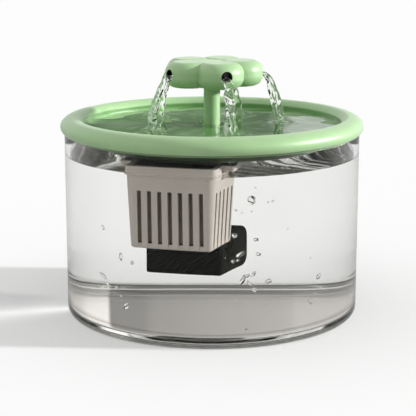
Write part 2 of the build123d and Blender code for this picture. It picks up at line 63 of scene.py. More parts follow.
# ---- Node helpers -----------------------------------------------------------------------
class Nodes:
    """A node tree with short calls for adding and linking nodes."""

    def __init__(self, tree):
        self.tree = tree
        tree.nodes.clear()

    def add(self, kind, settings=None, **inputs):
        """Adds a node. settings are its properties; inputs are sockets, by name with _ for a space."""
        node = self.tree.nodes.new(kind)
        for name, value in (settings or {}).items():
            setattr(node, name, value)
        for name, value in inputs.items():
            self.feed(node.inputs[name.replace("_", " ")], value)
        return node

    def feed(self, socket, value):
        if isinstance(value, bpy.types.NodeSocket):
            self.tree.links.new(value, socket)
        else:
            socket.default_value = value

    def math(self, operation, *values, clamp=False):
        node = self.add("ShaderNodeMath", {"operation": operation, "use_clamp": clamp})
        for socket, value in zip(node.inputs, values):
            self.feed(socket, value)
        return node.outputs[0]

    def distance(self, a, b):
        """Length of the long side of a right triangle with sides a and b."""
        squares = self.math("ADD", self.math("POWER", a, 2.0), self.math("POWER", b, 2.0))
        return self.math("SQRT", squares)

    def place(self, coordinates="Object"):
        """X, Y and Z of the shaded point, or of the world's direction."""
        place = self.add("ShaderNodeTexCoord").outputs[coordinates]
        return self.add("ShaderNodeSeparateXYZ", Vector=place).outputs

    def relief(self, height, strength, depth_mm, invert=False):
        bump = self.add("ShaderNodeBump", {"invert": invert}, Height=height)
        bump.inputs["Strength"].default_value = strength
        bump.inputs["Distance"].default_value = depth_mm * MM
        return bump.outputs["Normal"]

    def ramp(self, factor, stops):
        node = self.add("ShaderNodeValToRGB", Fac=factor)
        elements = node.color_ramp.elements
        while len(elements) < len(stops):
            elements.new(0.5)
        for element, (place, colour) in zip(elements, stops):
            element.position = place
            element.color = colour if len(colour) == 4 else (*colour, 1.0)
        return node.outputs["Color"]

    def mix(self, factor, a, b):
        node = self.add("ShaderNodeMix", {"data_type": "RGBA"})
        self.feed(node.inputs[0], factor)
        self.feed(node.inputs[6], a)
        self.feed(node.inputs[7], b)
        return node.outputs[2]

    def mix_shaders(self, factor, a, b):
        node = self.add("ShaderNodeMixShader", Fac=factor)
        self.feed(node.inputs[1], a.outputs[0])
        self.feed(node.inputs[2], b.outputs[0])
        return node.outputs[0]

    def finish(self, shader, output="ShaderNodeOutputMaterial"):
        self.add(output, Surface=shader)

    def surface(self, **inputs):
        """One shader for the whole material, joined to its output."""
        self.finish(self.add("ShaderNodeBsdfPrincipled", **inputs).outputs[0])


def grey(value):
    return (value, value, value, 1.0)


def new_material(name):
    material = bpy.data.materials.new(name)
    material.use_nodes = True
    return material, Nodes(material.node_tree)


# ---- Shared effects: node groups --------------------------------------------------------
def new_group(name, inputs, outputs):
    """An empty shader node group. inputs are (name, default); outputs are names of plain values."""
    tree = bpy.data.node_groups.new(name, "ShaderNodeTree")
    for label, default in inputs:
        socket = tree.interface.new_socket(label, in_out="INPUT", socket_type="NodeSocketFloat")
        socket.default_value = default
    for label in outputs:
        tree.interface.new_socket(label, in_out="OUTPUT", socket_type="NodeSocketFloat")
    nodes = Nodes(tree)
    return tree, nodes, nodes.add("NodeGroupInput").outputs, nodes.add("NodeGroupOutput").inputs


def make_grain_group():
    """Fine moulded grain over broad unevenness: a height, and a slow mask for colour and gloss."""
    inputs = [("Grain Size mm", 0.5), ("Patch Size mm", 18.0), ("Patch Contrast", 0.5)]
    tree, nodes, given, result = new_group("moulded_grain", inputs, ["Height", "Patches"])
    place = nodes.add("ShaderNodeTexCoord").outputs["Object"]
    fine_scale = nodes.math("DIVIDE", 1 / MM, given["Grain Size mm"])
    broad_scale = nodes.math("DIVIDE", 1 / MM, given["Patch Size mm"])
    fine = nodes.add("ShaderNodeTexNoise", Vector=place, Detail=3.0, Scale=fine_scale)
    broad = nodes.add("ShaderNodeTexNoise", Vector=place, Detail=2.0, Scale=broad_scale)
    centred = nodes.math("SUBTRACT", broad.outputs["Fac"], 0.5)
    nodes.feed(result["Height"], fine.outputs["Fac"])
    nodes.feed(result["Patches"], nodes.math("MULTIPLY_ADD", centred, given["Patch Contrast"], 0.5))
    return tree


def make_edge_group():
    """Where a surface bulges, as on a worn or polished edge."""
    inputs = [("Start", 0.52), ("Strength", 4.0)]
    tree, nodes, given, result = new_group("worn_edges", inputs, ["Mask"])
    bulge = nodes.add("ShaderNodeNewGeometry").outputs["Pointiness"]
    above = nodes.math("SUBTRACT", bulge, given["Start"])
    nodes.feed(result["Mask"], nodes.math("MULTIPLY", above, given["Strength"], clamp=True))
    return tree


def make_rib_group():
    """Fine slanting ribs that lean in the piece's own upright planes and bend slightly."""
    inputs = [("Pitch mm", 1.55), ("Slope", 0.9), ("Sway", 0.5)]
    tree, nodes, given, result = new_group("slanting_ribs", inputs, ["Height"])
    y_share, full_sway = 0.15, 10 * MM
    place = nodes.add("ShaderNodeTexCoord").outputs["Object"]
    parts = nodes.add("ShaderNodeSeparateXYZ", Vector=place).outputs
    across = nodes.math("ADD", parts["X"], nodes.math("MULTIPLY", parts["Y"], y_share))
    slant = nodes.math("SUBTRACT", across, nodes.math("MULTIPLY", parts["Z"], given["Slope"]))
    bend = nodes.add("ShaderNodeTexNoise", Vector=place, Scale=45.0, Detail=0.0).outputs["Fac"]
    sway = nodes.math("MULTIPLY", nodes.math("MULTIPLY", bend, full_sway), given["Sway"])
    pitch = nodes.math("MULTIPLY", given["Pitch mm"], MM)
    turns = nodes.math("DIVIDE", nodes.math("ADD", slant, sway), pitch)
    wave = nodes.math("SINE", nodes.math("MULTIPLY", turns, 2 * pi))
    nodes.feed(result["Height"], nodes.math("MULTIPLY_ADD", wave, 0.5, 0.5))
    return tree


BEND_RADIUS, BEND_Z = LIP_RADIUS - DISH_CORNER_ROUND, DISH_FLOOR + DISH_CORNER_ROUND  # dish's corner
WALL_MIDDLE = 8.1  # from the middle of that bend to the middle of the dish's wall
SKIRT_RADIUS, SKIRT_TOP = 86.5, 112.6  # of the tray's underside inside the tank
BORE_MARGIN, LIP_MARGIN = 0.3, 0.5  # what the zones take in beyond the collar's bore and the dish's wall


def make_tray_zone_group():
    """Masks for painted shade: on the tray's underside inside the tank and in the collar's bore, and inside
    its dish.
    """
    tree, nodes, given, result = new_group("tray_painted_shade_zones", [("Softness mm", 0.6)], ["Underside", "Dish Shade"])
    place = nodes.place()
    reach, height = nodes.distance(place["X"], place["Y"]), place["Z"]

    def past(value, edge, sign):
        """1 where value is above edge, in mm, or below it where sign is -1, with a soft border."""
        away = nodes.math("MULTIPLY", nodes.math("SUBTRACT", value, edge * MM), sign / MM)
        steps = nodes.math("DIVIDE", away, given["Softness mm"])
        return nodes.math("MULTIPLY_ADD", steps, 0.5, 0.5, clamp=True)

    def product(one, other):
        return nodes.math("MULTIPLY", one, other)

    out = nodes.math("MAXIMUM", nodes.math("SUBTRACT", reach, BEND_RADIUS * MM), 0.0)
    down = nodes.math("MAXIMUM", nodes.math("SUBTRACT", BEND_Z * MM, height), 0.0)
    from_bend = nodes.distance(out, down)
    below_skirt = product(past(height, SKIRT_TOP, -1), past(reach, SKIRT_RADIUS, -1))
    skirt = product(past(from_bend, WALL_MIDDLE, 1), below_skirt)
    bore = product(past(reach, COLLAR_BORE + BORE_MARGIN, -1), past(height, COLLAR_TOP - GAP_TOP, -1))
    below_lip = product(past(height, PAINTED_SHADE_TOP, -1), past(reach, LIP_RADIUS + LIP_MARGIN, -1))
    nodes.feed(result["Underside"], nodes.math("MAXIMUM", skirt, bore))
    nodes.feed(result["Dish Shade"], product(past(from_bend, WALL_MIDDLE, -1), below_lip))
    return tree


grain_group = make_grain_group()
edge_group = make_edge_group()
rib_group = make_rib_group()
tray_zone_group = make_tray_zone_group()


def place_group(nodes, tree, **inputs):
    """Adds a group to a material and gives its outputs."""
    node = nodes.tree.nodes.new("ShaderNodeGroup")
    node.node_tree = tree
    for name, value in inputs.items():
        nodes.feed(node.inputs[name.replace("_", " ")], value)
    return node.outputs


# ---- Materials --------------------------------------------------------------------------
DRY, UNDER_WATER = 1.5, 1.07  # index of plastic in air, and set against water, where it mirrors far less
MOULDED_GRAIN_MM, MOULDED_BUMP = 0.45, 0.05
# How moulded plastic differs from patch to patch in colour and in roughness, and how its edges wear
PATCH_SHADE, PATCH_ROUGH, EDGE_WEAR = 0.08, 0.12, 0.25


def moulded_plastic(name, base, rough, ior=DRY, coat=0.0, soft=0.0, sheen=0.0, dish_shade=None, underside=None):
    """Moulded plastic: slight colour and gloss patches, polished edges and a fine grain. The last two
    arguments give the tray painted shade: a darker colour inside its dish, and one on its side that faces
    the water."""
    material, nodes = new_material(name)
    grain = place_group(nodes, grain_group, Grain_Size_mm=MOULDED_GRAIN_MM)
    edges = place_group(nodes, edge_group)
    darker = tuple(c * (1 - PATCH_SHADE) for c in base)
    lighter = tuple(min(1.0, c * (1 + PATCH_SHADE)) for c in base)
    colour = nodes.ramp(grain["Patches"], [(0.3, darker), (0.7, lighter)])
    colour = nodes.mix(nodes.math("MULTIPLY", edges["Mask"], EDGE_WEAR), colour, (*lighter, 1.0))
    if underside:
        # painted shade: darker inside the dish, on the tray's underside and in the collar's bore
        zones = place_group(nodes, tray_zone_group)
        colour = nodes.mix(zones["Dish Shade"], colour, (*dish_shade, 1.0))
        colour = nodes.mix(zones["Underside"], colour, (*underside, 1.0))
    nodes.surface(
        Base_Color=colour,
        Roughness=nodes.math("MULTIPLY_ADD", grain["Patches"], PATCH_ROUGH, rough - PATCH_ROUGH / 2),
        Normal=nodes.relief(grain["Height"], MOULDED_BUMP, 0.2),
        IOR=ior,
        Coat_Weight=coat,
        Coat_Roughness=0.55,
        Sheen_Weight=sheen,
        Sheen_Roughness=0.35,
        Subsurface_Weight=soft,
        Subsurface_Radius=(0.6, 1.0, 0.5),
        Subsurface_Scale=1.5 * MM,
    )
    return material


DAYLIGHT_TINT = (0.98, 0.98, 0.975, 1.0)
EDGE_TINT_RISE = 3.0  # how late the tint comes as a clear wall turns edge on


def clear_medium(name, ior, tint, lamp_tint, glare=1.0, edge_tint=None):
    """Clear acrylic or water. Lamps and daylight for matt surfaces go straight through it, lamps
    dimmed by lamp_tint. glare is how much of the usual mirror image it shows where it is seen
    straight on, and edge_tint its colour edge on."""
    material, nodes = new_material(name)
    colour = (*tint, 1.0)
    if edge_tint:
        facing = nodes.add("ShaderNodeLayerWeight", Blend=0.5).outputs["Facing"]
        colour = nodes.mix(nodes.math("POWER", facing, EDGE_TINT_RISE), colour, (*edge_tint, 1.0))
    shader = nodes.add("ShaderNodeBsdfPrincipled", Base_Color=colour, Roughness=0.0, IOR=ior)
    shader.inputs["Transmission Weight"].default_value = 1.0
    shader.inputs["Specular Tint"].default_value = grey(glare)
    path = nodes.add("ShaderNodeLightPath").outputs
    dimming = nodes.mix(path["Is Shadow Ray"], DAYLIGHT_TINT, (*lamp_tint, 1.0))
    passing = nodes.add("ShaderNodeBsdfTransparent", Color=dimming)
    straight = nodes.math("MAXIMUM", path["Is Shadow Ray"], path["Is Diffuse Ray"])
    nodes.finish(nodes.mix_shaders(straight, shader, passing))
    return material


def ribbed_black(name):
    """Black pump plastic with fine slanting ribs."""
    material, nodes = new_material(name)
    # the grooves are near black, painted shade between the ribs; the crests keep the plastic's colour
    groove_shade, crest = (0.0003, 0.0003, 0.0002), (0.036, 0.037, 0.030)
    ribs = place_group(nodes, rib_group)
    grain = place_group(nodes, grain_group, Grain_Size_mm=0.3)
    nodes.surface(
        Base_Color=nodes.ramp(ribs["Height"], [(0.45, groove_shade), (0.9, crest)]),
        Roughness=nodes.math("MULTIPLY_ADD", grain["Patches"], 0.2, 0.6),
        Normal=nodes.relief(ribs["Height"], 0.9, 0.4),
        IOR=1.03,  # wet all over, so it hardly shines
    )
    return material


def woven_mesh(name, dark, light, pitch_mm):
    """Coarse filter cloth: threads that cross, seen through the box's slots."""
    material, nodes = new_material(name)
    place = nodes.place()
    across = nodes.math("ADD", place["X"], place["Y"])
    turn = 2 * pi / (pitch_mm * MM)
    rising = nodes.math("MULTIPLY", nodes.math("ADD", across, place["Z"]), turn)
    falling = nodes.math("MULTIPLY", nodes.math("SUBTRACT", across, place["Z"]), turn)
    threads = nodes.math("MAXIMUM", nodes.math("SINE", rising), nodes.math("SINE", falling))
    height = nodes.math("MULTIPLY_ADD", threads, 0.5, 0.5)
    colour = nodes.ramp(height, [(0.35, dark), (0.95, light)])
    nodes.surface(Base_Color=colour, Roughness=0.85, Normal=nodes.relief(height, 0.8, 0.3))
    return material


def granules(name, dark, light, size_mm, rough, metal=0.0):
    """A bed of small grains, or any speckled solid."""
    material, nodes = new_material(name)
    place = nodes.add("ShaderNodeTexCoord").outputs["Object"]
    cells = nodes.add("ShaderNodeTexVoronoi", Vector=place, Scale=1 / (size_mm * MM)).outputs["Distance"]
    colour = nodes.ramp(cells, [(0.1, light), (0.7, dark)])
    relief = nodes.relief(cells, 0.7, 0.3, invert=True)
    nodes.surface(Base_Color=colour, Roughness=rough, Metallic=metal, Normal=relief)
    return material


def layered_metal(name, dark, light, pitch_mm, rough):
    """Metal in fine layers: stacked laminations or wound wire."""
    material, nodes = new_material(name)
    turns = nodes.math("MULTIPLY", nodes.place()["Z"], 2 * pi / (pitch_mm * MM))
    height = nodes.math("MULTIPLY_ADD", nodes.math("SINE", turns), 0.5, 0.5)
    colour = nodes.ramp(height, [(0.0, dark), (0.6, light)])
    nodes.surface(Base_Color=colour, Roughness=rough, Metallic=1.0, Normal=nodes.relief(height, 0.7, 0.2))
    return material


SAGE = {"base": (0.35, 0.56, 0.27), "rough": 0.42, "coat": 0.7, "soft": 0.08, "sheen": 0.15}
sage = moulded_plastic("sage_green_plastic", **SAGE)
# the tray's copy of the sage plastic, with painted shade in its dish and on its underside
tray_sage = moulded_plastic("sage_green_tray", **SAGE, dish_shade=(0.17, 0.37, 0.12), underside=(0.035, 0.07, 0.02))
box_grey = moulded_plastic("warm_grey_plastic", (0.62, 0.565, 0.51), 0.42, UNDER_WATER)
dark_frame = moulded_plastic("dark_grey_plastic", (0.02, 0.02, 0.018), 0.5, UNDER_WATER)
white_plastic = moulded_plastic("white_plastic", (0.78, 0.78, 0.75), 0.35)
# black plastic for the cups of painted shade in the nozzles
nozzle_shade_black = moulded_plastic("glossy_black_nozzle_shade", (0.006, 0.008, 0.006), 0.12)
rubber = moulded_plastic("black_rubber", (0.02, 0.02, 0.02), 0.65)
ceramic = moulded_plastic("white_ceramic", (0.82, 0.81, 0.78), 0.15)
pump_black = ribbed_black("ribbed_black_plastic")

WATER_INDEX = 1.333
SHADE = (0.81, 0.81, 0.805)  # what each face of the tank and of its water lets through of the lamp's light
acrylic = clear_medium("clear_acrylic", 1.49, (0.955, 0.955, 0.95), SHADE, 0.15, (0.62, 0.60, 0.575))
water = clear_medium("clear_water", WATER_INDEX, (0.99, 0.99, 0.985), SHADE, 0.1)
jet_water = clear_medium("jet_water", WATER_INDEX, (0.95, 0.99, 0.94), (0.93, 0.93, 0.925))
# the dish's water has a green tint, painted shade that darkens the dish seen through it
dish_water = clear_medium("dish_water", WATER_INDEX, (0.72, 0.82, 0.67), (0.66, 0.71, 0.63))
bubble_skin = clear_medium("air_bubble_skin", 1.2, (0.97, 0.97, 0.97), (0.95, 0.95, 0.95))

filter_cloth = woven_mesh("brown_filter_mesh", (0.045, 0.038, 0.028), (0.42, 0.37, 0.29), 1.1)
cotton = granules("white_cotton", (0.7, 0.7, 0.66), (0.86, 0.86, 0.82), 1.2, 0.95)
sponge = granules("black_sponge", (0.004, 0.005, 0.004), (0.03, 0.036, 0.026), 1.4, 0.9)
carbon = granules("carbon_granules", (0.003, 0.003, 0.003), (0.03, 0.03, 0.03), 1.5, 0.4)
resin = granules("amber_resin_beads", (0.2, 0.08, 0.01), (0.6, 0.34, 0.1), 0.8, 0.3)
ferrite = granules("sintered_ferrite", (0.02, 0.02, 0.022), (0.05, 0.05, 0.054), 0.5, 0.6, 0.6)
core_steel = layered_metal("steel_laminations", (0.2, 0.2, 0.21), (0.55, 0.55, 0.56), 0.7, 0.35)
copper = layered_metal("enamelled_copper_wire", (0.35, 0.12, 0.05), (0.85, 0.4, 0.22), 0.5, 0.3)

SLOT_MATERIALS = {
    "clear_acrylic": acrylic,
    "sage_plastic": sage,
    "grey_plastic": box_grey,
    "dark_plastic": dark_frame,
    "pump_plastic": pump_black,
    "white_plastic": white_plastic,
    "black_rubber": rubber,
    "filter_cloth": filter_cloth,
    "cotton": cotton,
    "sponge": sponge,
    "carbon": carbon,
    "resin": resin,
    "ferrite": ferrite,
    "core_steel": core_steel,
    "copper": copper,
    "ceramic": ceramic,
}


def dress(obj, material):
    obj.data.materials.clear()
    obj.data.materials.append(material)


for subpart in frame["record"]["subparts"]:
    dress(frame["nodes"][subpart["node"]], SLOT_MATERIALS[subpart["material_slot"]])
dress(frame["nodes"]["tray"], tray_sage)


# ---- Mesh helpers -----------------------------------------------------------------------
SOLID_CREASE, WATER_CREASE = 35, 75  # degrees past which an edge stays sharp


def arc(cx, cz, radius, start, end, steps):
    """Points on an arc in a section, angles in degrees."""
    angles = [radians(start + (end - start) * k / steps) for k in range(steps + 1)]
    return [(cx + radius * cos(a), cz + radius * sin(a)) for a in angles]


def swing(along, aside, angle):
    """x and y of a point that lies so far along a heading and to its left."""
    return along * cos(angle) - aside * sin(angle), along * sin(angle) + aside * cos(angle)


def mesh_object(name, points, faces, material, body):
    """A smooth mesh from points in mm, riding on a body."""
    mesh = bpy.data.meshes.new(name)
    mesh.from_pydata([tuple(c * MM for c in point) for point in points], [], faces)
    mesh.polygons.foreach_set("use_smooth", [True] * len(mesh.polygons))
    mesh.update()
    obj = bpy.data.objects.new(name, mesh)
    bpy.context.scene.collection.objects.link(obj)
    mesh.materials.append(material)
    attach(obj, body)
    return obj


def merge_points(obj, crease=SOLID_CREASE):
    """Joins points that share a place and keeps the edges sharp that bend by more than crease degrees."""
    shape = bmesh.new()
    shape.from_mesh(obj.data)
    bmesh.ops.remove_doubles(shape, verts=shape.verts, dist=1e-6)
    bmesh.ops.recalc_face_normals(shape, faces=shape.faces)
    shape.to_mesh(obj.data)
    shape.free()
    obj.data.set_sharp_from_angle(angle=radians(crease))


def turned(section, steps=ROUND_STEPS, height=None):
    """Points and faces of a closed solid of revolution. section runs (r, z) from axis to axis.

    height(x, y, r, z) gives a new z, for ripples."""
    angles = [2 * pi * k / steps for k in range(steps)]
    points, rows = [], []
    for r, z in section:
        if r < 1e-6:
            rows.append([len(points)] * steps)
            points.append((0.0, 0.0, height(0.0, 0.0, 0.0, z) if height else z))
            continue
        rows.append(range(len(points), len(points) + steps))
        for a in angles:
            x, y = r * cos(a), r * sin(a)
            points.append((x, y, height(x, y, r, z) if height else z))
    faces = []
    for low, high in zip(rows, rows[1:]):
        for k in range(steps):
            n = (k + 1) % steps
            corners = [low[k], low[n], high[n], high[k]]
            faces.append(list(dict.fromkeys(corners)))
    return points, faces


def looped(section, steps=ROUND_STEPS, height=None):
    """Points and faces of a ring whose closed section doesn't touch the axis."""
    points, faces = turned(section + section[:1], steps, height)
    count = len(section) * steps
    wrap = [tuple(i - count if i >= count else i for i in face) for face in faces]
    return points[:count], wrap


def tube_faces(rings, around, first=0):
    """Faces between rings of points that follow each other, numbered from first."""
    faces = []
    for ring in range(rings - 1):
        low, high = first + ring * around, first + (ring + 1) * around
        for k in range(around):
            n = (k + 1) % around
            faces.append((low + k, high + k, high + n, low + n))
    return faces


# ---- Tank -------------------------------------------------------------------------------
BASE_RINGS = (30, 60)  # extra rings of points on the flat base and floor
FOOT_STEPS, EDGE_STEPS, CORNER_STEPS = 12, 5, 10  # faces round each bend of the section
NEAR = 0.01  # how closely points are compared with the notch


def tank_section():
    """From the middle of the underside, out, up, over the rim, down inside and back to the axis."""
    edge, top = TANK_EDGE_ROUND, TANK_HEIGHT - TANK_EDGE_ROUND
    under = [(0, 0)] + [(r, 0) for r in BASE_RINGS]
    foot = arc(TANK_RADIUS - TANK_FOOT_ROUND, TANK_FOOT_ROUND, TANK_FOOT_ROUND, -90, 0, FOOT_STEPS)
    outer_top = [(TANK_RADIUS, NOTCH_FOOT)] + arc(TANK_RADIUS - edge, top, edge, 0, 90, EDGE_STEPS)
    inner_top = arc(TANK_BORE + edge, top, edge, 90, 180, EDGE_STEPS) + [(TANK_BORE, NOTCH_FOOT)]
    corner_z = TANK_FLOOR + TANK_CORNER_ROUND
    corner = arc(TANK_BORE - TANK_CORNER_ROUND, corner_z, TANK_CORNER_ROUND, 0, -90, CORNER_STEPS)
    floor = [(r, TANK_FLOOR) for r in reversed(BASE_RINGS)] + [(0, TANK_FLOOR)]
    return under + foot + outer_top + inner_top + corner + floor


def snap_notch_sides(points):
    """Moves the rim's points nearest the notch's sides onto them, and returns their numbers by side."""
    half_angle = NOTCH_HALF / TANK_RADIUS
    half_step = pi / ROUND_STEPS
    moved = {-1: [], 1: []}
    for index, (x, y, z) in enumerate(points):
        if z < NOTCH_FOOT - NEAR:
            continue
        a = atan2(y, x) - pi / 2
        for side in moved:
            if abs(a + side * half_angle) < half_step:
                points[index] = (side * NOTCH_HALF, sqrt(hypot(x, y)**2 - NOTCH_HALF**2), z)
                moved[side].append(index)
    return moved


def make_tank():
    """The clear tank with the notch in its rim for the lead's grommet."""
    points, faces = turned(tank_section())
    sides = snap_notch_sides(points)

    def in_notch(i):
        x, y, z = points[i]
        return z > NOTCH_FOOT - NEAR and y > 0 and abs(x) < NOTCH_HALF + NEAR

    def out_from_axis(i):
        return hypot(*points[i][:2])

    cut = [face for face in faces if all(in_notch(i) for i in face)]
    faces = [face for face in faces if not all(in_notch(i) for i in face)]
    faces += [sides[-1], sides[1][::-1]]
    foot = {i for face in cut for i in face if abs(points[i][2] - NOTCH_FOOT) < NEAR}
    foot = sorted(foot, key=lambda i: points[i][0])
    middle = (TANK_RADIUS + TANK_BORE) / 2
    outer = [i for i in foot if out_from_axis(i) > middle]
    inner = [i for i in foot if out_from_axis(i) < middle]
    for k in range(len(outer) - 1):
        faces.append([outer[k], outer[k + 1], inner[k + 1], inner[k]])
    return mesh_object("tank_clear_wall", points, faces, acrylic, "tank")


# ---- Water in the tank and in the dish ----------------------------------------------------
MENISCUS_RISE, MENISCUS_REACH = 0.9, 1.1
# Waves on the tank's water: heading in x and y, length in mm where the heading is 1 long, and height
LONG_WAVE, SHORT_WAVE = (0.8, 1.0, 11.0, 0.2), (0.35, 1.1, 5.2, 0.06)
# Unevenness of the water: height, scale in x and y in 1/mm, and where in the noise it is taken
WAVE_BEND, TANK_CHOP = (3.0, 0.03, 0.03, 1.7), (0.1, 0.11, 0.11, 5.0)
DISH_SWELL, DISH_CHOP = (1.1, 0.034, 0.026, 9.0), (0.26, 0.09, 0.06, 4.0)
WALL_CALM = 9.0  # from the wall to where the waves have their full height
LEFT_CALM, CALM_START, CALM_WIDTH = 0.15, -5.0, 20.0  # waves left at -X, and where they grow to full
# Rings of points on the water: distance apart near the wall, their number, and distance further in
TANK_RINGS, DISH_RINGS = (0.25, 13, 1.1), (0.3, 11, 0.9)
STILL_DEPTH = 20.0  # from the tank's water down to the last ring on its wall
TANK_LOW_RINGS, DISH_LOW_RING, DISH_BEND_STEPS = (40, 70), 40, 8  # on the water's underside
BEND_LEAD = 0.01  # what is left of the dish's flat floor before its bend
TANK_MOVED, DISH_MOVED = 1.0, 3.0  # how far below the water's top a point still moves with the surface


def meniscus(gap):
    """How far water climbs at a distance from a wall."""
    return MENISCUS_RISE * exp(-max(gap, 0.0) / MENISCUS_REACH)


def clamped(value):
    return min(1.0, max(0.0, value))


def uneven(x, y, kind):
    height, x_scale, y_scale, place = kind
    return height * noise.noise(Vector((x * x_scale, y * y_scale, place)))


def wave_height(x, y, wave, bend):
    heading_x, heading_y, length, height = wave
    return height * sin(2 * pi * (heading_x * x + heading_y * y) / length + bend)


def tank_ripples(x, y, r, z):
    """Slanting ripples on the tank's water, calm at the wall and lower towards -X."""
    if z < TANK_WATER_TOP - TANK_MOVED:
        return z
    bend = uneven(x, y, WAVE_BEND)
    waves = wave_height(x, y, LONG_WAVE, bend) + wave_height(x, y, SHORT_WAVE, 2 * bend)
    waves += uneven(x, y, TANK_CHOP)
    free = clamped((TANK_BORE - r) / WALL_CALM)
    free *= LEFT_CALM + (1 - LEFT_CALM) * clamped((x - CALM_START) / CALM_WIDTH)
    return TANK_WATER_TOP + meniscus(TANK_BORE - r) + free * waves


def rings_inward(start, step, count):
    """Radii of count rings, each a step further in."""
    return [start - step * k for k in range(1, count + 1)]


def make_tank_water():
    low, wall, corner = TANK_FLOOR - SOAK, TANK_BORE + SOAK, TANK_CORNER_ROUND + SOAK
    section = [(0, low)] + [(r, low) for r in TANK_LOW_RINGS]
    section += arc(wall - corner, low + corner, corner, -90, 0, CORNER_STEPS)
    section += [(wall, TANK_WATER_TOP - STILL_DEPTH), (wall, TANK_WATER_TOP)]
    step, count, wide_step = TANK_RINGS
    fine = rings_inward(wall, step, count)
    coarse = rings_inward(fine[-1], wide_step, int(fine[-1] / wide_step) - 1)
    section += [(r, TANK_WATER_TOP) for r in fine + coarse + [0]]
    points, faces = turned(section, ROUND_STEPS, tank_ripples)
    return mesh_object("tank_water", points, faces, water, "tank")


def petal_angles():
    return [radians(FIRST_PETAL + 360 * k / PETALS) for k in range(PETALS)]


JET_REACH = 42.2  # from the stem's axis to where a jet lands
RING_HEIGHT, RING_FADE, RING_LENGTH = 0.42, 7.5, 8.0  # of the rings round a landing
RING_PHASE = 1.0  # radians of the wave from a landing out to its first crest


def tray_ripples(x, y, r, z):
    """Rings round each jet's landing and a slow, patchy swell, on the tray's water."""
    if z < TRAY_WATER_TOP - DISH_MOVED:
        return z
    top = TRAY_WATER_TOP
    for a in petal_angles():
        away = hypot(x - JET_REACH * cos(a), y - JET_REACH * sin(a))
        wave = cos(2 * pi * away / RING_LENGTH - RING_PHASE)
        top += RING_HEIGHT * exp(-away / RING_FADE) * wave
    top += uneven(x, y, DISH_SWELL) + uneven(x, y, DISH_CHOP)
    return top + meniscus(LIP_RADIUS - r)


def make_tray_water():
    """Water in the dish: from its floor up the wall, across the surface and into the gap round the stem.

    The points over the collar's top are high enough to move up to the surface with its ripples."""
    low, wall, corner = DISH_FLOOR - SOAK, LIP_RADIUS + SOAK, DISH_CORNER_ROUND + SOAK
    section = [(COLLAR_OUTER - SOAK, low), (DISH_LOW_RING, low), (wall - corner - BEND_LEAD, low)]
    section += arc(wall - corner, low + corner, corner, -90, 0, DISH_BEND_STEPS)
    section += [(wall, TRAY_WATER_TOP)]
    step, count, wide_step = DISH_RINGS
    outer = rings_inward(wall, step, count)
    across = outer[-1] - WATER_BORE
    inner_count = int(across / wide_step)
    inner = rings_inward(outer[-1], across / inner_count, inner_count)
    section += [(r, TRAY_WATER_TOP) for r in outer + inner]
    section += [(WATER_BORE, COLLAR_TOP - GAP_TOP), (COLLAR_BORE + SOAK, COLLAR_TOP - GAP_FOOT)]
    section += [(COLLAR_BORE + SOAK, COLLAR_TOP - SOAK), (COLLAR_OUTER - SOAK, COLLAR_TOP - SOAK)]
    points, faces = looped(section, ROUND_STEPS, tray_ripples)
    return mesh_object("tray_water", points, faces, dish_water, "tray")


# ---- Water jets and cups of painted shade in the nozzles ----------------------------------
JET_RINGS, JET_AROUND = 110, 40
JET_START, JET_LANDING = -1.6, 11.6  # of the way out from the nozzle's mouth: inside it, and in the dish
JET_SINK = 1.3  # from the nozzle's axis down to the jet's middle
JET_DROP = 0.248  # fall per square of the way out, 1/mm
JET_CROWDING = 0.72  # below 1, rings lie closer towards the landing
JET_SEED = 13.0  # a step in the noise from one jet to the next
JET_DRIFT = 1.2  # how far a jet's end may wander to its side
# The strands' reach at first, how it grows on the way, and how it beats and varies
JET_FIRST, JET_SWELL, JET_SPREAD = 1.75, 1.1, 0.9
JET_BEAT, JET_BEATS, JET_UNEVEN = 0.03, 5.0, 0.12
JET_BROAD, JET_FLAT = 1.15, 0.7  # breadth and depth of a section, against the strands' reach
# How far two strands part, at first and more on the way, and a third one's share
SPLIT_FIRST, SPLIT_MORE, THIRD_STRAND = 0.12, 0.30, 0.16
TWIST_FIRST, TWIST_MORE, TWIST_UNEVEN = 0.8, 1.6, 0.6  # turn of the strands, radians
KNOTS_FIRST, KNOTS_MORE, KNOT_SCALE = 0.24, 0.12, 1.8  # of the knots on the strands


def jet_point(way):
    """Middle of a jet at a way out from the nozzle, in its own upright plane: (r, z)."""
    outward = max(way, 0.0)
    return NOZZLE_REACH + way, NOZZLE_Z - JET_SINK - JET_DROP * outward**2


def jet_strands(t, seed):
    """The strands at t of the way, 0 to 1: how far they reach, how far they part, and their turn."""
    pulse = 1.0 + JET_BEAT * sin(2 * pi * JET_BEATS * t + seed)
    pulse += JET_UNEVEN * noise.noise(Vector((t * 5.0, seed, 7.0)))
    size = (JET_FIRST + JET_SWELL * min(1.0, t * 2.0) + JET_SPREAD * t * t) * pulse
    split = SPLIT_FIRST + SPLIT_MORE * min(1.0, t * 1.6)
    twist = TWIST_FIRST + TWIST_MORE * t + TWIST_UNEVEN * noise.noise(Vector((t * 3.0, seed, 3.0)))
    return size, split, twist


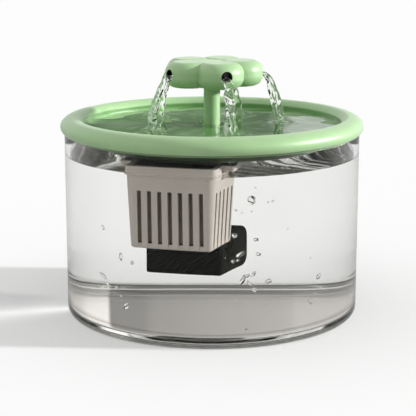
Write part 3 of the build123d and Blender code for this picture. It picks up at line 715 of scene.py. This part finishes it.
def jet_ring(t, seed):
    """Points round a jet at t of its way: out from the stem's axis, to the left, and up."""
    way = JET_START + (JET_LANDING - JET_START) * t**JET_CROWDING
    r, z = jet_point(way)
    ahead_r, ahead_z = jet_point(way + 0.05)
    slope = atan2(ahead_z - z, ahead_r - r)
    drift = JET_DRIFT * t * noise.noise(Vector((t * 2.0, seed, 0.0)))
    size, split, twist = jet_strands(t, seed)
    ring = []
    for k in range(JET_AROUND):
        a = 2 * pi * k / JET_AROUND
        lobe = 1.0 + split * cos(2 * (a - twist)) + THIRD_STRAND * cos(3 * (a + 0.5 * twist) + seed)
        knots = noise.noise(Vector((KNOT_SCALE * cos(a), KNOT_SCALE * sin(a) + seed, 4.0 * t + 4.0 * t * t)))
        reach = size * lobe * (1.0 + (KNOTS_FIRST + KNOTS_MORE * t) * knots)
        side, up = JET_BROAD * reach * cos(a) + drift, reach * sin(a) * JET_FLAT
        ring.append((r - up * sin(slope), side, z + up * cos(slope)))
    return ring


def make_jet(index, angle):
    """A twisting ribbon of water in strands that falls from a nozzle into the dish."""
    points = []
    for ring in range(JET_RINGS):
        for out, side, height in jet_ring(ring / (JET_RINGS - 1), JET_SEED * index):
            points.append((*swing(out, side, angle), height))
    last = (JET_RINGS - 1) * JET_AROUND
    faces = tube_faces(JET_RINGS, JET_AROUND)
    faces.append(tuple(range(JET_AROUND)))
    faces.append(tuple(reversed(range(last, last + JET_AROUND))))
    return mesh_object(f"water_jet_{index + 1}", points, faces, jet_water, "head")


# A black cup of painted shade fills each nozzle's bore, where there is only shade
SHADE_CUP_DEPTH, SHADE_CUP_OUTER, SHADE_CUP_BORE, SHADE_CUP_END = 5.6, 3.45, 3.05, 0.6
SHADE_CUP_SINK = 0.4  # of its mouth behind the petal's face
SHADE_CUP_STEPS, LIP_STEPS = 48, 6  # faces round it and round its lip


def make_nozzle_shade_cup(index, angle):
    """A black cup of painted shade in a nozzle's bore, with its mouth just inside the petal's face."""
    lip = (SHADE_CUP_OUTER - SHADE_CUP_BORE) / 2
    rim = arc(SHADE_CUP_BORE + lip, SHADE_CUP_DEPTH - lip, lip, 0, 180, LIP_STEPS)
    section = [(0, 0), (SHADE_CUP_OUTER, 0)] + rim + [(SHADE_CUP_BORE, SHADE_CUP_END), (0, SHADE_CUP_END)]
    points, faces = turned(section, SHADE_CUP_STEPS)
    inner_end = NOZZLE_REACH - SHADE_CUP_SINK - SHADE_CUP_DEPTH
    lay = Matrix.Rotation(angle, 4, "Z") @ Matrix.Translation((inner_end, 0, NOZZLE_Z))
    lay = lay @ Matrix.Rotation(pi / 2, 4, "Y")
    points = [tuple(lay @ Vector(point)) for point in points]
    return mesh_object(f"nozzle_shade_cup_{index + 1}", points, faces, nozzle_shade_black, "head")


# ---- Air bubbles ----------------------------------------------------------------------------
BUBBLE_REACH, BUBBLE_REACH_LEFT = 78.0, 82.0  # how far from the axis the bubbles stand, right and left
BUBBLE_ROWS, BUBBLE_AROUND, BUBBLE_UNEVEN = 12, 16, 0.35
LUMP_SCALE, LUMP_SEED = 1.6, 5.0  # of the noise that makes them uneven, and its step between bubbles
# Side from the front towards +X in degrees, height, length, thickness, and lean in degrees
BUBBLES = [
    (-47.5, 64.5, 3, 1.5, -55), (-38, 49.5, 4.5, 2, 95), (-32.5, 47, 2.5, 2, 0),
    (-48, 35.5, 6, 2, -30), (-45, 31, 3, 2, -40), (-38, 26, 2, 1.5, 0),
    (-35.5, 20.5, 5, 3, 80), (17.5, 92, 1.4, 1, 0), (16, 85, 5.5, 4, -70),
    (9.5, 79.5, 1.8, 1.4, 0), (12, 78, 1, 0.8, 0), (16, 78.5, 1, 0.8, 0),
    (23, 83, 1.4, 1, 0), (25, 83.5, 1.6, 1.2, 0), (18, 62, 3, 2, 0),
    (19, 53.5, 3, 2, -15), (9, 65, 3, 2.5, -40), (11.5, 54, 5.5, 2.5, 35),
    (8.5, 50, 2, 2, 0), (10.5, 50.5, 1.8, 1.5, 0), (12.5, 39, 5.5, 2.5, 65),
    (14, 41, 4.5, 2, 20), (17, 42, 3.5, 2, 60), (15.5, 36.5, 4.5, 2, -45),
    (17.5, 32.5, 3.5, 2, -60), (23.5, 37, 4, 2.5, 10), (49, 34.5, 4.5, 2.5, 35),
    (44.5, 20.5, 4.5, 2, -50), (9.5, 28, 1.4, 1, 0), (10.5, 23.5, 1.6, 1.2, 0),
    (18, 22.5, 1.2, 1, 0), (14, 14.5, 1.4, 1, 0), (14, 9.5, 1.8, 1.2, -30),
    (22, 23, 1.2, 1, 0), (44, 47, 1.1, 0.9, 0), (32, 66.5, 0.9, 0.9, 0),
]


def bubble_points(index, centre, length, thickness, lean):
    """Rings of points round one uneven bubble, from end to end."""
    x0, y0, z0 = centre
    facing = atan2(y0, x0) + pi / 2  # its broad side looks out through the wall
    points = []
    for row in range(BUBBLE_ROWS + 1):
        high = pi * row / BUBBLE_ROWS
        for k in range(BUBBLE_AROUND):
            a = 2 * pi * k / BUBBLE_AROUND
            way = Vector((sin(high) * cos(a), sin(high) * sin(a), cos(high)))
            lump = noise.noise(LUMP_SCALE * way + Vector((LUMP_SEED * index, 0.0, 0.0)))
            bulge = 1.0 + BUBBLE_UNEVEN * lump
            along, up = swing(way.z * length / 2, way.x * thickness / 2, radians(lean))
            x, y = swing(bulge * along, bulge * way.y * thickness / 2, facing)
            points.append((x0 + x, y0 + y, z0 + bulge * up))
    return points


def make_bubbles():
    points, faces = [], []
    for index, (side, height, length, thickness, lean) in enumerate(BUBBLES):
        reach = BUBBLE_REACH_LEFT if side < 0 else BUBBLE_REACH
        centre = (reach * sin(radians(side)), -reach * cos(radians(side)), height)
        faces += tube_faces(BUBBLE_ROWS + 1, BUBBLE_AROUND, len(points))
        points += bubble_points(index, centre, length, thickness, lean)
    return mesh_object("air_bubbles", points, faces, bubble_skin, "tank")


# ---- Putting the object together --------------------------------------------------------------
tank_wall = make_tank()
merge_points(tank_wall)
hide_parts("tank")
merge_points(make_tank_water())
merge_points(make_tray_water())
for number, petal_angle in enumerate(petal_angles()):
    merge_points(make_jet(number, petal_angle), WATER_CREASE)
    merge_points(make_nozzle_shade_cup(number, petal_angle))
merge_points(make_bubbles(), WATER_CREASE)


# ---- Stage: floor, in metres --------------------------------------------------------------------
FLOOR_HALF, FLOOR_DROP = 12.0, 0.05 * MM  # it lies just under the tank's foot
FLOOR_SEEN, FLOOR_BOUNCE = 0.98, 0.62  # the floor's colour, and what of it lights the object from below
FLOOR_LIFT = 0.04  # what the plain floor gains towards white where the camera sees it outright
# Painted contact shadow: the floor turns dark under the tank, with a soft edge
PAINTED_CONTACT_SHADOW, CONTACT_SHADOW_EDGE = (0.13, 0.115, 0.095, 1.0), (0.082, 0.0885)  # under the tank, and its soft edge

# The light that the round tank gathers on the floor: where it starts and ends, its side and lean,
# its width and how it widens, and its strength
STREAK_START, STREAK_END, STREAK_SIDE, STREAK_LEAN = 0.086, 0.30, -0.005, 0.22
STREAK_WIDTH, STREAK_SPREAD, STREAK_GAIN = 0.0055, 0.2, 0.36
STREAK_FADE = [(0.0, 0.0), (0.02, 1.0), (0.35, 0.6), (1.0, 0.0)]


def gathered_light(nodes, place):
    """How much light the tank gathers at a point of the floor, on the side away from the lamp."""
    reach = nodes.math("SUBTRACT", nodes.math("MULTIPLY", place["X"], -1.0), STREAK_START)
    middle = nodes.math("MULTIPLY_ADD", reach, -STREAK_LEAN, STREAK_SIDE)
    width = nodes.math("MULTIPLY_ADD", reach, STREAK_SPREAD, STREAK_WIDTH)
    off = nodes.math("DIVIDE", nodes.math("SUBTRACT", place["Y"], middle), width)
    falling = nodes.math("MULTIPLY", nodes.math("POWER", nodes.math("ABSOLUTE", off), 1.5), -1.0)
    along = nodes.math("DIVIDE", reach, STREAK_END - STREAK_START)
    fade = nodes.ramp(along, [(way, grey(v)) for way, v in STREAK_FADE])
    ridge = nodes.math("MULTIPLY", nodes.math("EXPONENT", falling), fade)
    return nodes.math("MULTIPLY", ridge, STREAK_GAIN)


def pale_floor():
    """White where it is seen, paler grey where it lights the object, and dark under the tank, a painted
    contact shadow.
    """
    material, nodes = new_material("pale_floor")
    path = nodes.add("ShaderNodeLightPath").outputs
    mirrored = nodes.math("SUBTRACT", path["Is Glossy Ray"], path["Is Transmission Ray"])
    bounced = nodes.math("MAXIMUM", path["Is Diffuse Ray"], mirrored)
    tone = nodes.mix(bounced, grey(FLOOR_SEEN), grey(FLOOR_BOUNCE))
    place = nodes.place()
    decimetres = nodes.math("MULTIPLY", nodes.distance(place["X"], place["Y"]), 10.0)
    # painted contact shadow under the tank
    inside, outside = CONTACT_SHADOW_EDGE
    under = nodes.ramp(decimetres, [(10 * inside, grey(1.0)), (10 * outside, grey(0.0))])
    tone = nodes.mix(under, tone, PAINTED_CONTACT_SHADOW)
    shader = nodes.add("ShaderNodeBsdfPrincipled", Base_Color=tone, Roughness=0.9, Emission_Color=grey(1.0))
    shader.inputs["Specular IOR Level"].default_value = 0.0
    lift = nodes.math("ADD", gathered_light(nodes, place), FLOOR_LIFT)
    nodes.feed(shader.inputs["Emission Strength"], nodes.math("MULTIPLY", path["Is Camera Ray"], lift))
    nodes.finish(shader.outputs[0])
    return material


def make_floor():
    mesh = bpy.data.meshes.new("floor")
    corners = [(-1, -1), (1, -1), (1, 1), (-1, 1)]
    mesh.from_pydata([(FLOOR_HALF * x, FLOOR_HALF * y, 0) for x, y in corners], [], [(0, 1, 2, 3)])
    mesh.materials.append(pale_floor())
    floor = bpy.data.objects.new("floor", mesh)
    floor.location.z = -FLOOR_DROP
    bpy.context.scene.collection.objects.link(floor)


# ---- Stage: daylight dome -------------------------------------------------------------------------
# What clear and glossy surfaces show of the studio, and what lights matt ones. Each list runs over
# angles in degrees: sides from straight back towards +X, or heights above the floor.
BACKDROP = 0.965
SWEEP_SHADES = [
    (-72, 0.85), (-36, 0.72), (-17.2, 0.68), (-15.8, 0.60), (0, 0.50), (11, 0.41),
    (12.2, 0.34), (22.6, 0.33), (23.4, 1.15), (34, 1.15), (42, 0.9),
]
SWEEP_WARMTH = 0.03
SWEEP_TOP = [(24, 1.0), (30, 0.0)]
HORIZON_TOP = [(14.0, 1.0), (15.5, 0.0)]
CANOPY = [(40, 0.0), (46, 1.0), (62, 1.0), (70, 0.0)]
CANOPY_SIDES = [(-100, 0.0), (-60, 1.0), (40, 1.0), (80, 0.0)]
DARK = (0.035, 0.032, 0.026, 1.0)
MIRROR_HEIGHTS = [(0, 0.12), (9, 0.14), (16, 0.45), (34, 0.965)]
MIRROR_SIDES = [(-52, 0.0), (-34, 1.0), (2.2, 1.0), (3.8, 0.0)]
DOME_HEIGHTS = [(20, 0.45), (35, 0.66), (50, 0.84), (70, 0.74), (90, 0.66)]
DOME_LEAN = [(-180, 1.0), (-100, 1.0), (-40, 0.8), (40, 0.64), (110, 0.7), (180, 1.0)]
DOME_SIDES = [
    (-180, 0.02), (-158, 0.25), (-132, 0.9), (-90, 1.0), (-50, 0.8), (0, 0.4),
    (90, 0.4), (135, 0.1), (180, 0.02),
]
DOME_BLEND = [(12, 0.0), (34, 1.0)]  # from the sides' light to the light overhead


def make_world():
    """A dome that lights matt surfaces, more from the left and from above than from the front. Clear pieces
    show a grey sweep low at the back, a dark line under it and a dark canopy over it, and glossy ones a
    darker patch low at the back."""
    world = bpy.data.worlds.new("studio")
    world.use_nodes = True
    bpy.context.scene.world = world
    nodes = Nodes(world.node_tree)
    way = nodes.place("Generated")
    turn = nodes.math("MULTIPLY_ADD", nodes.math("ARCTAN2", way["X"], way["Y"]), 0.5 / pi, 0.5)
    rise = nodes.math("MULTIPLY", nodes.math("ARCSINE", way["Z"]), 2 / pi)

    def by_height(stops):
        return nodes.ramp(rise, [(high / 90, grey(v)) for high, v in stops])

    def by_side(stops, warmth=0.0):
        colour = (1, 1 - warmth, 1 - 2 * warmth)
        return nodes.ramp(turn, [(0.5 + side / 360, tuple(v * c for c in colour)) for side, v in stops])

    white = grey(BACKDROP)
    canopy = nodes.math("MULTIPLY", by_height(CANOPY), by_side(CANOPY_SIDES))
    through = nodes.mix(by_height(SWEEP_TOP), white, by_side(SWEEP_SHADES, SWEEP_WARMTH))
    through = nodes.mix(by_height(HORIZON_TOP), through, DARK)
    through = nodes.mix(canopy, through, DARK)
    path = nodes.add("ShaderNodeLightPath").outputs
    sharp = nodes.math("MULTIPLY", by_side(MIRROR_SIDES), path["Is Singular Ray"])
    mirrored = nodes.mix(sharp, white, by_height(MIRROR_HEIGHTS))
    shown = nodes.mix(path["Is Transmission Ray"], mirrored, through)
    above = nodes.math("MULTIPLY", by_height(DOME_HEIGHTS), by_side(DOME_LEAN))
    light = nodes.mix(by_height(DOME_BLEND), by_side(DOME_SIDES), above)
    seen = nodes.add("ShaderNodeBackground", Strength=1.0, Color=shown)
    dome = nodes.add("ShaderNodeBackground", Strength=1.0, Color=light)
    matt = nodes.math("GREATER_THAN", path["Diffuse Depth"], 0.5)
    nodes.finish(nodes.mix_shaders(matt, seen, dome), "ShaderNodeOutputWorld")


# ---- Stage: key lamp and camera ---------------------------------------------------------------------
KEY_STRENGTH, KEY_SPREAD = 4.65, 3.0  # the spread, which softens its shadows, is in degrees
KEY_HEIGHT, KEY_SIDE = 14.0, 87.0  # degrees above the floor, and round from -Y towards +X
CAMERA_PLACE = (0.0, -0.8269, 0.24372)
CAMERA_PITCH, CAMERA_TURN = 77.695, 0.1658  # degrees up from straight down, and round to the left
CAMERA_LENS, CAMERA_FILM = 117.93, 36.0  # mm


def make_key_lamp():
    lamp = bpy.data.lights.new("key", "SUN")
    lamp.energy = KEY_STRENGTH
    lamp.angle = radians(KEY_SPREAD)
    obj = bpy.data.objects.new("key", lamp)
    bpy.context.scene.collection.objects.link(obj)
    side, high = radians(KEY_SIDE), radians(KEY_HEIGHT)
    towards = Vector((sin(side) * cos(high), -cos(side) * cos(high), sin(high)))
    obj.rotation_mode = "QUATERNION"
    obj.rotation_quaternion = towards.to_track_quat("Z", "Y")


def make_camera():
    data = bpy.data.cameras.new("camera")
    data.lens, data.sensor_width = CAMERA_LENS, CAMERA_FILM
    data.clip_start, data.clip_end = 0.01, 100.0
    camera = bpy.data.objects.new("camera", data)
    bpy.context.scene.collection.objects.link(camera)
    camera.location = CAMERA_PLACE
    camera.rotation_euler = (radians(CAMERA_PITCH), 0.0, radians(CAMERA_TURN))
    bpy.context.scene.camera = camera


make_floor()
make_world()
make_key_lamp()
make_camera()
bpy.context.scene.view_settings.view_transform = "Standard"

# Light that is trapped in the clear base turns back many times before it comes out
bpy.context.scene.cycles.max_bounces = 24
bpy.context.scene.cycles.transmission_bounces = 20
bpy.context.scene.cycles.glossy_bounces = 12
